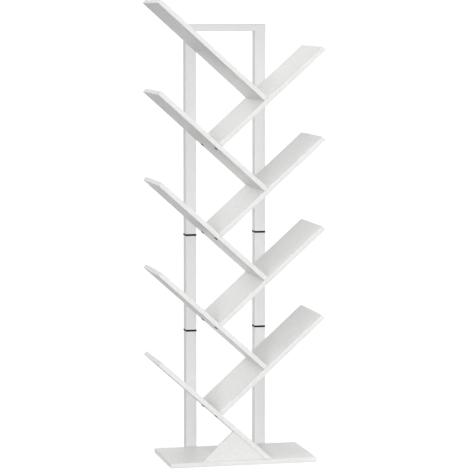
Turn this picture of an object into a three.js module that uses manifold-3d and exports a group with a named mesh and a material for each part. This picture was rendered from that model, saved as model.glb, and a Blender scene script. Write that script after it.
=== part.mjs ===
// Free-standing tree shaped bookshelf: nine tilted boards on a base plate, carried by a two-post rear frame.
// Millimetres, +Z up, the open side faces -Y. The origin is the middle of the footprint, on the floor.
import * as THREE from "three";
import { mergeVertices } from "three/addons/utils/BufferGeometryUtils.js";
import Module from "manifold-3d";

const wasm = await Module();
wasm.setup();

// Tilted shelf boards. Lengths run along the underside.
const tierPitch = 286;
const boardTiltDegrees = 42;
const leftBoardLength = 460;
const rightBoardLength = 452;
const lowestBoardLength = 467;
const boardDepth = 265;
const boardThickness = 15;
const leftBoardCount = 5;
const rightBoardCount = leftBoardCount - 1;

// Edge banding: eased edges, and a rounder corner at the free end of a board.
const edgeEase = 0.6;
const endCornerRadius = 1.4;

// Base plate, and the triangular plate that holds up the lowest board.
const baseWidth = 478;
const baseFrontLip = 5;
const baseThickness = 15;
const baseInset = 35;
const baseCornerRadius = 2;
const triangleHeight = 95;
const triangleFreeSideDegrees = 43.5;
const triangleThickness = 15;
const triangleTipWidth = 2;

// Rear frame of rectangular steel tube: each post is three lengths of tube, and a rail closes the top.
// A joint lies between the bolt of a right board and that of the left board above it. Its share counts up
// from the right board's bolt, and the joints of the right post stand a little higher.
const postWidth = 35;
const postDepth = 40;
const postInset = 142;
const postSpacing = 232;
const jointPlaceShares = { left: [0.43, 0.64], right: [0.48, 0.68] };
const railAboveBolt = 42;
const railHeight = 22;
const tubeWall = 1.5;
const tubeCornerRadius = 2.4;
const railPlugHead = 2;
const railPlugLength = 16;

// Moulded plastic connector between two lengths of post tube: a flange that shows, and a ribbed plug each
// way.
const flangeHeight = 6;
const flangeProud = 1;
const flangeEase = 0.8;
const plugLength = 40;
const plugWall = 2.4;
const plugWeb = 3;
const plugLeadIn = 5;
const plugLeadInTaper = 1.2;
const ribHeight = 0.9;
const ribWidth = 2.2;
const ribEndRelief = 3;
const ribPlaceShares = [-0.5, 0.5];

// Plastic foot under each post.
const footSole = 2;
const footPlugLength = 20;

// Connector bolts with a flat head, which join board to board.
const flatBolt = {
  shank: 6,
  head: 12.5,
  headHeight: 2,
  headEase: 0.7,
  tipEase: 0.8,
  socket: 4,
  socketDepth: 1.5,
  bite: 30,
};
const boltEdgeInset = 32;

// Button-head bolts, which pass through a post into the rear edge of a board or of the base.
const postBolt = {
  shank: 6,
  head: 11.5,
  headHeight: 3.2,
  headEase: 1.6,
  tipEase: 0.8,
  socket: 4,
  socketDepth: 2,
  bite: 22,
};

// Countersunk wood screws for the triangular plate, and dowels that place the lowest board on the base. The
// screws' shares are of each half of the plate's foot, and of the slanted side that holds up the board.
const woodScrew = {
  shank: 4,
  head: 8,
  headHeight: 2.4,
  tipEase: 1.5,
  socket: 2.5,
  socketDepth: 1.2,
  bite: 24,
};
const baseScrewShare = 0.6;
const shelfScrewShares = [0.22, 0.5];
const dowelDiameter = 6;
const dowelInBase = 9;
const dowelInBoard = 5;
const dowelEase = 0.8;

// Clearances, and one overrun for every cut.
const seatClearance = 0.3;
const holeClearance = 0.3;
const plugClearance = 0.3;
const tipClearance = 1.5;
const cutOverrun = 4;

// Facets on rounds.
const roundSteps = 10;
const cornerSteps = 2;
const plugCornerSteps = 1;
const easeSteps = 1;

// Sizes that follow from the ones above. Along is the run of a left board, away from its free end.
const tilt = THREE.MathUtils.degToRad(boardTiltDegrees);
const crossing = 2 * tilt;
const leftRun = new THREE.Vector3(Math.cos(tilt), 0, -Math.sin(tilt));
const leftUp = new THREE.Vector3(Math.sin(tilt), 0, Math.cos(tilt));
const rightRun = new THREE.Vector3(Math.cos(tilt), 0, Math.sin(tilt));
const rightUp = new THREE.Vector3(-Math.sin(tilt), 0, Math.cos(tilt));
const forward = new THREE.Vector3(0, -1, 0);
const seatWidth = boardThickness / Math.sin(crossing);
const seatPlace =
  leftBoardLength - tierPitch / (2 * Math.sin(tilt)) + (boardThickness + seatClearance) / Math.tan(tilt);
const landingPlace =
  tierPitch * Math.sin(tilt) +
  (leftBoardLength - seatPlace) * Math.cos(crossing) -
  (boardThickness + seatClearance) * Math.sin(crossing);
const firstBoardHeight = baseThickness + seatClearance + lowestBoardLength * Math.sin(tilt);
const leftPostCentre = postInset + postWidth / 2;
const rightPostCentre = leftPostCentre + postSpacing;
const boltRise = boardThickness / 2 / Math.cos(tilt);
const baseDepth = boardDepth + baseFrontLip;

// A place on board number tier: the free lower corner of a left board, and the seated one of a right board.
function leftOrigin(tier) {
  return new THREE.Vector3(0, 0, firstBoardHeight + (tier - 1) * tierPitch);
}

function rightOrigin(tier) {
  return leftOrigin(tier)
    .addScaledVector(leftRun, seatPlace)
    .addScaledVector(leftUp, boardThickness + seatClearance);
}

// Where the bolt through a post meets the middle of a board's rear edge.
function leftBoltHeight(tier) {
  return leftOrigin(tier).z - leftPostCentre * Math.tan(tilt) + boltRise;
}

function rightBoltHeight(tier) {
  const origin = rightOrigin(tier);
  return origin.z + (rightPostCentre - origin.x) * Math.tan(tilt) + boltRise;
}

// The underside of each joint's flange on a post, and of the rail.
function jointHeights(side) {
  return jointPlaceShares[side].map((share, index) => {
    const middle = THREE.MathUtils.lerp(rightBoltHeight(index + 1), leftBoltHeight(index + 2), share);
    return middle - flangeHeight / 2;
  });
}

const railBottom = leftBoltHeight(leftBoardCount) + railAboveBolt;

const overallWidth = rightOrigin(1).x + rightBoardLength * Math.cos(tilt);
const rearReach = postDepth + seatClearance + postBolt.headHeight;
const boardRear = (baseDepth - rearReach) / 2;

// Finishes.
const boardFinish = { color: 0xf1f1ef, roughness: 0.5, metalness: 0 };
const frameFinish = { color: 0xe0e0e0, roughness: 0.45, metalness: 0.1 };
const plasticFinish = { color: 0x101010, roughness: 0.6, metalness: 0 };
const railPlugFinish = { color: 0xe0e0e0, roughness: 0.6, metalness: 0 };
const boltFinish = { color: 0x2a2a2c, roughness: 0.4, metalness: 0.9 };
const dowelFinish = { color: 0xc9a877, roughness: 0.8, metalness: 0 };

// Solids: a geometry becomes a closed solid for a cut or a join, and comes back as a geometry.
function solidOf(geometry) {
  const bare = geometry.clone();
  bare.deleteAttribute("normal");
  bare.deleteAttribute("uv");
  const merged = mergeVertices(bare);
  return new wasm.Manifold(
    new wasm.Mesh({
      numProp: 3,
      vertProperties: new Float32Array(merged.attributes.position.array),
      triVerts: new Uint32Array(merged.index.array),
    }),
  );
}

function geometryOf(solid) {
  const mesh = solid.getMesh();
  const indexed = new THREE.BufferGeometry();
  indexed.setAttribute("position", new THREE.BufferAttribute(mesh.vertProperties, mesh.numProp));
  indexed.setIndex(new THREE.BufferAttribute(mesh.triVerts, 1));
  const flat = indexed.toNonIndexed();
  flat.computeVertexNormals();
  return flat;
}

function join(geometries) {
  return geometryOf(geometries.map(solidOf).reduce((whole, next) => whole.add(next)));
}

function cut(geometry, cutters) {
  return geometryOf(cutters.map(solidOf).reduce((left, cutter) => left.subtract(cutter), solidOf(geometry)));
}

// Outlines.
function outlineOf(corners) {
  const shape = new THREE.Shape();
  const count = corners.length;
  corners.forEach(({ at, radius = 0 }, index) => {
    const before = corners[(index + count - 1) % count].at;
    const after = corners[(index + 1) % count].at;
    const start = at.clone().add(before.clone().sub(at).setLength(radius));
    const end = at.clone().add(after.clone().sub(at).setLength(radius));
    if (index === 0) {
      shape.moveTo(start.x, start.y);
    } else {
      shape.lineTo(start.x, start.y);
    }
    if (radius > 0) {
      shape.quadraticCurveTo(at.x, at.y, end.x, end.y);
    }
  });
  shape.closePath();
  return shape;
}

function corner(x, y, radius = 0) {
  return { at: new THREE.Vector2(x, y), radius };
}

function roundedRectangle(width, height, radius, PathClass = THREE.Shape) {
  const path = new PathClass();
  const x = width / 2 - radius;
  const y = height / 2 - radius;
  const quarter = Math.PI / 2;
  path.moveTo(width / 2, -y);
  path.absarc(x, y, radius, 0, quarter);
  path.absarc(-x, y, radius, quarter, 2 * quarter);
  path.absarc(-x, -y, radius, 2 * quarter, 3 * quarter);
  path.absarc(x, -y, radius, 3 * quarter, 4 * quarter);
  path.closePath();
  return path;
}

function polygon(sides, acrossFlats) {
  const shape = new THREE.Shape();
  const radius = acrossFlats / 2 / Math.cos(Math.PI / sides);
  for (let side = 0; side < sides; side += 1) {
    const angle = (2 * Math.PI * side) / sides;
    const x = radius * Math.cos(angle);
    const y = radius * Math.sin(angle);
    if (side === 0) {
      shape.moveTo(x, y);
    } else {
      shape.lineTo(x, y);
    }
  }
  shape.closePath();
  return shape;
}

// Prisms. An eased prism keeps its full length and outline, with its end edges rounded over.
function prism(shape, length, ease = 0, curveSegments = cornerSteps) {
  const geometry = new THREE.ExtrudeGeometry(shape, {
    depth: length - 2 * ease,
    steps: 1,
    curveSegments,
    bevelEnabled: ease > 0,
    bevelThickness: ease,
    bevelSize: ease,
    bevelOffset: -ease,
    bevelSegments: easeSteps,
  });
  return geometry.translate(0, 0, ease);
}

// The outline lies in X and Z, and the prism runs from the rear plane towards the front.
function forwardPrism(shape, length, ease) {
  return prism(shape, length, ease).rotateX(Math.PI / 2);
}

function rod(radius, start, direction, length) {
  const axis = new THREE.Quaternion().setFromUnitVectors(new THREE.Vector3(0, 1, 0), direction);
  const middle = start.clone().addScaledVector(direction, length / 2);
  return new THREE.CylinderGeometry(radius, radius, length, roundSteps)
    .applyQuaternion(axis)
    .translate(middle.x, middle.y, middle.z);
}

// A turned piece on +Z from a profile of radius and height, listed upwards.
function turned(profile) {
  const points = profile.map(([radius, height]) => new THREE.Vector2(radius, height));
  return new THREE.LatheGeometry(points, roundSteps).rotateX(Math.PI / 2);
}

// Fasteners. The head bears at height 0 and the shank runs along +Z.
function headedBolt(kind, length) {
  const shank = kind.shank / 2;
  const head = kind.head / 2;
  const body = turned([
    [0, -kind.headHeight],
    [head - kind.headEase, -kind.headHeight],
    [head, kind.headEase - kind.headHeight],
    [head, 0],
    [shank, 0],
    [shank, length - kind.tipEase],
    [shank - kind.tipEase, length],
    [0, length],
  ]);
  return cut(body, [socketCutter(kind, -kind.headHeight)]);
}

// A countersunk head ends flush with the board's face, at height 0.
function countersunkScrew(kind, length) {
  const shank = kind.shank / 2;
  const body = turned([
    [0, 0],
    [kind.head / 2, 0],
    [shank, kind.headHeight],
    [shank, length - kind.tipEase],
    [shank - kind.tipEase, length],
    [0, length],
  ]);
  return cut(body, [socketCutter(kind, 0)]);
}

function socketCutter(kind, top) {
  return prism(polygon(6, kind.socket), kind.socketDepth + cutOverrun).translate(0, 0, top - cutOverrun);
}

function dowelPin() {
  const radius = dowelDiameter / 2;
  const length = dowelInBase + dowelInBoard;
  return turned([
    [0, 0],
    [radius - dowelEase, 0],
    [radius, dowelEase],
    [radius, length - dowelEase],
    [radius - dowelEase, length],
    [0, length],
  ]);
}

// The countersink is wider than the screw's head by the hole clearance, measured at the board's face.
function countersinkCutter(kind, start, direction) {
  const outer = kind.head / 2 + holeClearance;
  const inner = kind.shank / 2 + holeClearance;
  const slope = (outer - inner) / kind.headHeight;
  const axis = new THREE.Quaternion().setFromUnitVectors(new THREE.Vector3(0, 0, 1), direction);
  return turned([
    [0, -cutOverrun],
    [outer + cutOverrun * slope, -cutOverrun],
    [inner, kind.headHeight],
    [0, kind.headHeight],
  ])
    .applyQuaternion(axis)
    .translate(start.x, start.y, start.z);
}

// Each fastener says where its head bears, which way it goes, how long it is, and what it passes through.
const fasteners = [];

function addFastener({ name, geometry, finish, start, direction, radius, length, through, cutters = [] }) {
  const from = start.clone().addScaledVector(direction, -cutOverrun);
  const bore = rod(radius + holeClearance, from, direction, cutOverrun + length + tipClearance);
  fasteners.push({ name, geometry, finish, start, direction, through, cutters: [bore, ...cutters] });
}

function addHeadedBolt(name, kind, seat, direction, passed, through) {
  const length = passed + kind.bite;
  const start = seat.clone().addScaledVector(direction, -seatClearance);
  const geometry = headedBolt(kind, length);
  const radius = kind.shank / 2;
  addFastener({ name, geometry, finish: boltFinish, start, direction, radius, length, through });
}

function addWoodScrew(name, start, direction, passed, through) {
  const length = passed + woodScrew.bite;
  addFastener({
    name,
    geometry: countersunkScrew(woodScrew, length),
    finish: boltFinish,
    start,
    direction,
    radius: woodScrew.shank / 2,
    length,
    through,
    cutters: [countersinkCutter(woodScrew, start, direction)],
  });
}

// Two bolts through the board underneath into the seated end of the board that stands on it. A bolt is
// square to the board underneath, so it starts off the other board's middle and crosses it halfway along
// its bite.
function addSeatBolts(name, origin, run, up, place, leanSign, through) {
  const middle = place + (leanSign * flatBolt.bite) / 2 / Math.tan(crossing);
  const edges = { back: boltEdgeInset, front: boardDepth - boltEdgeInset };
  for (const [edge, inset] of Object.entries(edges)) {
    const seat = origin.clone().addScaledVector(run, middle).addScaledVector(forward, inset);
    addHeadedBolt(`${name}_${edge}`, flatBolt, seat, up, boardThickness + seatClearance, through);
  }
}

function addShelfBolts() {
  for (let tier = 1; tier <= rightBoardCount; tier += 1) {
    addSeatBolts(
      `bolt_right_shelf_${tier}`,
      leftOrigin(tier),
      leftRun,
      leftUp,
      seatPlace - seatWidth / 2,
      1,
      [`shelf_left_${tier}`, `shelf_right_${tier}`],
    );
    addSeatBolts(
      `bolt_left_shelf_${tier + 1}`,
      rightOrigin(tier),
      rightRun,
      rightUp,
      landingPlace + seatWidth / 2,
      -1,
      [`shelf_right_${tier}`, `shelf_left_${tier + 1}`],
    );
  }
}

// A bolt is drilled through whatever it meets of its post.
function addPostBolt(name, side, centre, height, board) {
  const seat = new THREE.Vector3(centre, postDepth, height);
  const tubes = ["lower", "middle", "upper"].map((level) => `post_${side}_${level}`);
  const plugs = [`foot_cap_${side}`, `post_connector_${side}_lower`, `post_connector_${side}_upper`];
  addHeadedBolt(name, postBolt, seat, forward, postDepth, [...tubes, ...plugs, board]);
}

function addPostBolts() {
  for (let tier = 1; tier <= leftBoardCount; tier += 1) {
    const name = `shelf_left_${tier}`;
    addPostBolt(`post_bolt_${name}`, "left", leftPostCentre, leftBoltHeight(tier), name);
  }
  for (let tier = 1; tier <= rightBoardCount; tier += 1) {
    const name = `shelf_right_${tier}`;
    addPostBolt(`post_bolt_${name}`, "right", rightPostCentre, rightBoltHeight(tier), name);
  }
  addPostBolt("post_bolt_base_left", "left", leftPostCentre, baseThickness / 2, "base_plate");
  addPostBolt("post_bolt_base_right", "right", rightPostCentre, baseThickness / 2, "base_plate");
}

// The triangle's held side lies along the underside of the lowest board, from its tip to the board's foot.
const triangleHeldRun = triangleHeight / Math.tan(tilt);
const triangleFreeRun = triangleHeight / Math.tan(THREE.MathUtils.degToRad(triangleFreeSideDegrees));
const triangleTip = lowestBoardLength * Math.cos(tilt) - triangleHeldRun;

function addTriangleScrews() {
  const depth = boardDepth - triangleThickness / 2;
  const up = new THREE.Vector3(0, 0, 1);
  for (const [index, run] of [-triangleFreeRun, triangleHeldRun].entries()) {
    const start = new THREE.Vector3(triangleTip + baseScrewShare * run, -depth, 0);
    const through = ["base_plate", "triangle_support"];
    addWoodScrew(`triangle_screw_base_${index + 1}`, start, up, baseThickness, through);
  }
  const tipPlace = triangleTip / Math.cos(tilt);
  const side = lowestBoardLength - tipPlace;
  shelfScrewShares.forEach((share, index) => {
    const start = leftOrigin(1)
      .addScaledVector(leftRun, tipPlace + share * side)
      .addScaledVector(leftUp, boardThickness)
      .addScaledVector(forward, depth);
    const down = leftUp.clone().negate();
    const through = ["shelf_left_1", "triangle_support"];
    addWoodScrew(`triangle_screw_shelf_${index + 1}`, start, down, boardThickness, through);
  });
}

function addDowels() {
  const footprint = boardThickness / Math.sin(tilt);
  const centre = lowestBoardLength * Math.cos(tilt) + footprint / 2 - dowelDiameter / 2;
  const edges = { back: boltEdgeInset, front: boardDepth - 2 * boltEdgeInset };
  for (const [edge, inset] of Object.entries(edges)) {
    const start = new THREE.Vector3(centre, -inset, baseThickness - dowelInBase);
    const direction = new THREE.Vector3(0, 0, 1);
    const length = dowelInBase + dowelInBoard;
    const bore = rod(
      dowelDiameter / 2 + holeClearance,
      start.clone().addScaledVector(direction, -holeClearance),
      direction,
      length + 2 * holeClearance,
    );
    fasteners.push({
      name: `base_dowel_${edge}`,
      geometry: dowelPin(),
      finish: dowelFinish,
      start,
      direction,
      through: ["base_plate", "shelf_left_1"],
      cutters: [bore],
    });
  }
}

addShelfBolts();
addPostBolts();
addTriangleScrews();
addDowels();

// The assembly. Its own origin is the left tip of the boards, at their rear plane, on the floor.
const bookshelf = new THREE.Group();
bookshelf.position.set(-overallWidth / 2, boardRear, 0);

// A piece is drilled in its own frame by every fastener that passes through it.
function addPiece(name, geometry, finish, position, tiltAngle = 0) {
  const mesh = new THREE.Mesh(geometry, new THREE.MeshStandardMaterial(finish));
  mesh.name = name;
  mesh.position.copy(position);
  mesh.rotation.y = tiltAngle;
  mesh.updateMatrix();
  const toPiece = mesh.matrix.clone().invert();
  const cutters = fasteners
    .filter((fastener) => fastener.through.includes(name))
    .flatMap((fastener) => fastener.cutters)
    .map((cutter) => cutter.clone().applyMatrix4(toPiece));
  if (cutters.length > 0) {
    mesh.geometry = cut(geometry, cutters);
  }
  bookshelf.add(mesh);
}

function addFastenerPieces() {
  const axis = new THREE.Vector3(0, 0, 1);
  for (const { name, geometry, finish, start, direction } of fasteners) {
    const mesh = new THREE.Mesh(geometry, new THREE.MeshStandardMaterial(finish));
    mesh.name = name;
    mesh.position.copy(start);
    mesh.quaternion.setFromUnitVectors(axis, direction);
    bookshelf.add(mesh);
  }
}

// A left board is square at its free end, and cut at its lower end to lie flat on what it lands on.
function leftBoard(length, landingAngle) {
  const reach = length + boardThickness / Math.tan(landingAngle);
  const shape = outlineOf([
    corner(0, 0, endCornerRadius),
    corner(length, 0),
    corner(reach, boardThickness),
    corner(0, boardThickness, endCornerRadius),
  ]);
  return forwardPrism(shape, boardDepth, edgeEase);
}

// A right board is its mirror, seated at its lower left end.
function rightBoard() {
  const shape = outlineOf([
    corner(0, 0),
    corner(rightBoardLength, 0, endCornerRadius),
    corner(rightBoardLength, boardThickness, endCornerRadius),
    corner(-boardThickness / Math.tan(crossing), boardThickness),
  ]);
  return forwardPrism(shape, boardDepth, edgeEase);
}

function addShelves() {
  for (let tier = 1; tier <= leftBoardCount; tier += 1) {
    const geometry = tier === 1 ? leftBoard(lowestBoardLength, tilt) : leftBoard(leftBoardLength, crossing);
    addPiece(`shelf_left_${tier}`, geometry, boardFinish, leftOrigin(tier), tilt);
  }
  for (let tier = 1; tier <= rightBoardCount; tier += 1) {
    addPiece(`shelf_right_${tier}`, rightBoard(), boardFinish, rightOrigin(tier), -tilt);
  }
}

function addBase() {
  const plate = prism(roundedRectangle(baseWidth, baseDepth, baseCornerRadius), baseThickness, edgeEase);
  const middle = new THREE.Vector3(baseInset + baseWidth / 2, -baseDepth / 2, 0);
  addPiece("base_plate", plate, boardFinish, middle);

  const tip = triangleTipWidth / 2;
  const heldHeight = triangleHeight - seatClearance / Math.cos(tilt);
  const topHeight = heldHeight - tip * Math.tan(tilt);
  const shape = outlineOf([
    corner(-triangleFreeRun, 0),
    corner(heldHeight / Math.tan(tilt), 0),
    corner(tip, topHeight),
    corner(-tip, topHeight),
  ]);
  const front = new THREE.Vector3(triangleTip, triangleThickness - boardDepth, baseThickness);
  addPiece("triangle_support", forwardPrism(shape, triangleThickness, edgeEase), boardFinish, front);
}

function tubeSection(width, depth) {
  const section = roundedRectangle(width, depth, tubeCornerRadius);
  const innerRadius = tubeCornerRadius - tubeWall;
  section.holes.push(
    roundedRectangle(width - 2 * tubeWall, depth - 2 * tubeWall, innerRadius, THREE.Path),
  );
  return section;
}

// One half of a plug: a thin-walled cup with a tapered lead-in. Crush ribs reach the tube's wall, or else the
// cup does.
function plugHalf(length, floor, ribbed) {
  const inside = tubeWall + plugClearance + (ribbed ? ribHeight : 0);
  const width = postWidth - 2 * inside;
  const depth = postDepth - 2 * inside;
  const radius = tubeCornerRadius - tubeWall;
  const straight = length - plugLeadIn;
  const outline = roundedRectangle(width, depth, radius);
  const body = prism(outline, straight, 0, plugCornerSteps);
  const nose = prism(outline, plugLeadIn, 0, plugCornerSteps);
  taper(nose, straight, plugLeadIn, plugLeadInTaper, width, depth);
  const pocket = prism(
    roundedRectangle(width - 2 * plugWall, depth - 2 * plugWall, radius),
    length - floor + cutOverrun,
    0,
    plugCornerSteps,
  ).translate(0, 0, floor);
  const ribs = ribbed ? plugRibs(width, depth, straight) : [];
  return cut(join([body, nose, ...ribs]), [pocket]);
}

// Moves a prism up, and draws its far end in by the taper all round.
function taper(geometry, base, length, amount, width, depth) {
  const places = geometry.attributes.position;
  for (let index = 0; index < places.count; index += 1) {
    const far = places.getZ(index) > length / 2;
    const scaleX = far ? 1 - (2 * amount) / width : 1;
    const scaleY = far ? 1 - (2 * amount) / depth : 1;
    places.setXYZ(index, places.getX(index) * scaleX, places.getY(index) * scaleY, places.getZ(index) + base);
  }
}

// Two ribs on each side of the plug, rooted in its wall and running out to nothing at the lead-in.
function plugRibs(width, depth, straight) {
  const root = plugWall / 2;
  const ribs = [];
  for (const share of ribPlaceShares) {
    for (const turn of [0, 1, 2, 3]) {
      const [across, along] = turn % 2 === 0 ? [width, depth] : [depth, width];
      const face = across / 2;
      const place = (share * along) / 2;
      const shape = outlineOf([
        corner(face - root, 0),
        corner(face + ribHeight, 0),
        corner(face + ribHeight, straight - ribEndRelief),
        corner(face - root, straight),
      ]);
      const rib = prism(shape, ribWidth)
        .translate(0, 0, -ribWidth / 2)
        .rotateX(Math.PI / 2)
        .translate(0, place, 0)
        .rotateZ((turn * Math.PI) / 2);
      ribs.push(rib);
    }
  }
  return ribs;
}

// The connector stands on its flange's lower face. The flange is flush in front, where the boards meet the
// post.
function postConnector() {
  const flange = prism(
    roundedRectangle(postWidth + 2 * flangeProud, postDepth + flangeProud, tubeCornerRadius + flangeProud),
    flangeHeight,
    flangeEase,
  ).translate(0, flangeProud / 2, 0);
  const upper = plugHalf(plugLength, plugWeb, true).translate(0, 0, flangeHeight - plugWeb);
  const lower = plugHalf(plugLength, plugWeb, true).rotateX(Math.PI).translate(0, 0, plugWeb);
  return join([flange, upper, lower]);
}

function footCap() {
  const sole = prism(roundedRectangle(postWidth, postDepth, tubeCornerRadius), footSole, footSole / 4);
  return join([sole, plugHalf(footPlugLength, footSole, false)]);
}

function addPosts() {
  const posts = { left: leftPostCentre, right: rightPostCentre };
  const overFlange = flangeHeight + seatClearance;
  for (const [side, centre] of Object.entries(posts)) {
    const [lower, upper] = jointHeights(side);
    const tubes = {
      lower: { foot: footSole, top: lower - seatClearance },
      middle: { foot: lower + overFlange, top: upper - seatClearance },
      upper: { foot: upper + overFlange, top: railBottom - seatClearance },
    };
    const at = (height) => new THREE.Vector3(centre, postDepth / 2, height);
    addPiece(`foot_cap_${side}`, footCap(), plasticFinish, at(0));
    for (const [level, { foot, top }] of Object.entries(tubes)) {
      const tube = prism(tubeSection(postWidth, postDepth), top - foot);
      addPiece(`post_${side}_${level}`, tube, frameFinish, at(foot));
    }
    for (const [level, height] of Object.entries({ lower, upper })) {
      addPiece(`post_connector_${side}_${level}`, postConnector(), plasticFinish, at(height));
    }
  }
}

// The rail lies on both posts, and a plug closes each of its ends flush with the post's outer side.
function addRail() {
  const length = postSpacing + postWidth - 2 * (railPlugHead + seatClearance);
  const toRail = (geometry) => geometry.rotateY(Math.PI / 2);
  const middle = (leftPostCentre + rightPostCentre) / 2;
  const centre = new THREE.Vector3(middle, postDepth / 2, railBottom + railHeight / 2);
  const tube = toRail(prism(tubeSection(railHeight, postDepth), length)).translate(-length / 2, 0, 0);
  addPiece("top_rail", tube, frameFinish, centre);

  const inside = tubeWall + plugClearance;
  const headOutline = roundedRectangle(railHeight, postDepth, tubeCornerRadius);
  const plugRadius = tubeCornerRadius - tubeWall;
  const plugOutline = roundedRectangle(railHeight - 2 * inside, postDepth - 2 * inside, plugRadius);
  const pocketOutline = roundedRectangle(
    railHeight - 2 * (inside + plugWall),
    postDepth - 2 * (inside + plugWall),
    plugRadius,
  );
  for (const [side, direction] of Object.entries({ left: -1, right: 1 })) {
    const head = prism(headOutline, railPlugHead);
    const plug = prism(plugOutline, railPlugLength, 0, plugCornerSteps).translate(0, 0, -railPlugLength);
    const pocket = prism(pocketOutline, railPlugLength + cutOverrun, 0, plugCornerSteps).translate(
      0,
      0,
      -railPlugLength - cutOverrun,
    );
    const geometry = toRail(cut(join([head, plug]), [pocket])).rotateZ(direction < 0 ? Math.PI : 0);
    const reach = length / 2 + seatClearance;
    const position = centre.clone().add(new THREE.Vector3(direction * reach, 0, 0));
    addPiece(`top_rail_plug_${side}`, geometry, railPlugFinish, position);
  }
}

addBase();
addShelves();
addPosts();
addRail();
addFastenerPieces();

// The group's own frame is the part's frame, so the assembly hangs one level below it.
const part = new THREE.Group();
part.add(bookshelf);

export default part;
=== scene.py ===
import logging
import math
from dataclasses import dataclass, field, replace
from enum import Enum
from functools import cached_property
from typing import Callable, ClassVar, Iterable, Mapping, Sequence

import bmesh
import bpy
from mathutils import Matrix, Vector


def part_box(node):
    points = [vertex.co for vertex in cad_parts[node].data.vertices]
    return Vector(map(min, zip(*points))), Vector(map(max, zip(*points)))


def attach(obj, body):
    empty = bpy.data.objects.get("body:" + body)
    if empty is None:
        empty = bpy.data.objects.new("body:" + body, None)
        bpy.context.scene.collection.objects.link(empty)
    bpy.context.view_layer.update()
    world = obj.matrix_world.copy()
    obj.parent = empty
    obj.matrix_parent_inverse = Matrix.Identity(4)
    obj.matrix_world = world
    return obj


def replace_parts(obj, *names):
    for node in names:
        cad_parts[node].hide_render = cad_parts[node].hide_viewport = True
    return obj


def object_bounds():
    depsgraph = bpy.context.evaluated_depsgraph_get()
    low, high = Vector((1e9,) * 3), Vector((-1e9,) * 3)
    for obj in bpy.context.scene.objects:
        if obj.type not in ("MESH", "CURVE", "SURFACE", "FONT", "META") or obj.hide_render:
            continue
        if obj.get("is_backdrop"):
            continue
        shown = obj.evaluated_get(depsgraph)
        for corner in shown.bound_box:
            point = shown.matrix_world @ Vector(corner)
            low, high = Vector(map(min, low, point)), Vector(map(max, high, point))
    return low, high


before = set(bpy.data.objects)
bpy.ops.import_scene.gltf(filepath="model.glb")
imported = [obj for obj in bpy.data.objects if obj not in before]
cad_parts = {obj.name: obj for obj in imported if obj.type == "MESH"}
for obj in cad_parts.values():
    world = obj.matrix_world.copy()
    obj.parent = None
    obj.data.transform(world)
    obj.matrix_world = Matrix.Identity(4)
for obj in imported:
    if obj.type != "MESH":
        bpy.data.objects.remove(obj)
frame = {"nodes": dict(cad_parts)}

LOG = logging.getLogger("bookshelf")
MM = 0.001
BODY = "root"

Pair = tuple[float, float]
Triple = tuple[float, float, float]
Colour = Triple
Row = list[Vector]
Piece = bpy.types.Object
Mesh = bpy.types.Mesh
Group = bpy.types.NodeTree
Node = bpy.types.Node
Socket = bpy.types.NodeSocket
Feeds = Mapping[str | int, object]

WHOLE: Pair = (0.0, 1.0)


class Slot(Enum):
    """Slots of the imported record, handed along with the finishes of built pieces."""

    TUBE = "frame_tube"
    STEEL = "bolt_steel"
    DOWEL = "dowel_wood"


# Node trees


def grey(tone: float) -> Colour:
    """Gives the grey of a tone between 0 and 1."""
    return (tone, tone, tone)


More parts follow.
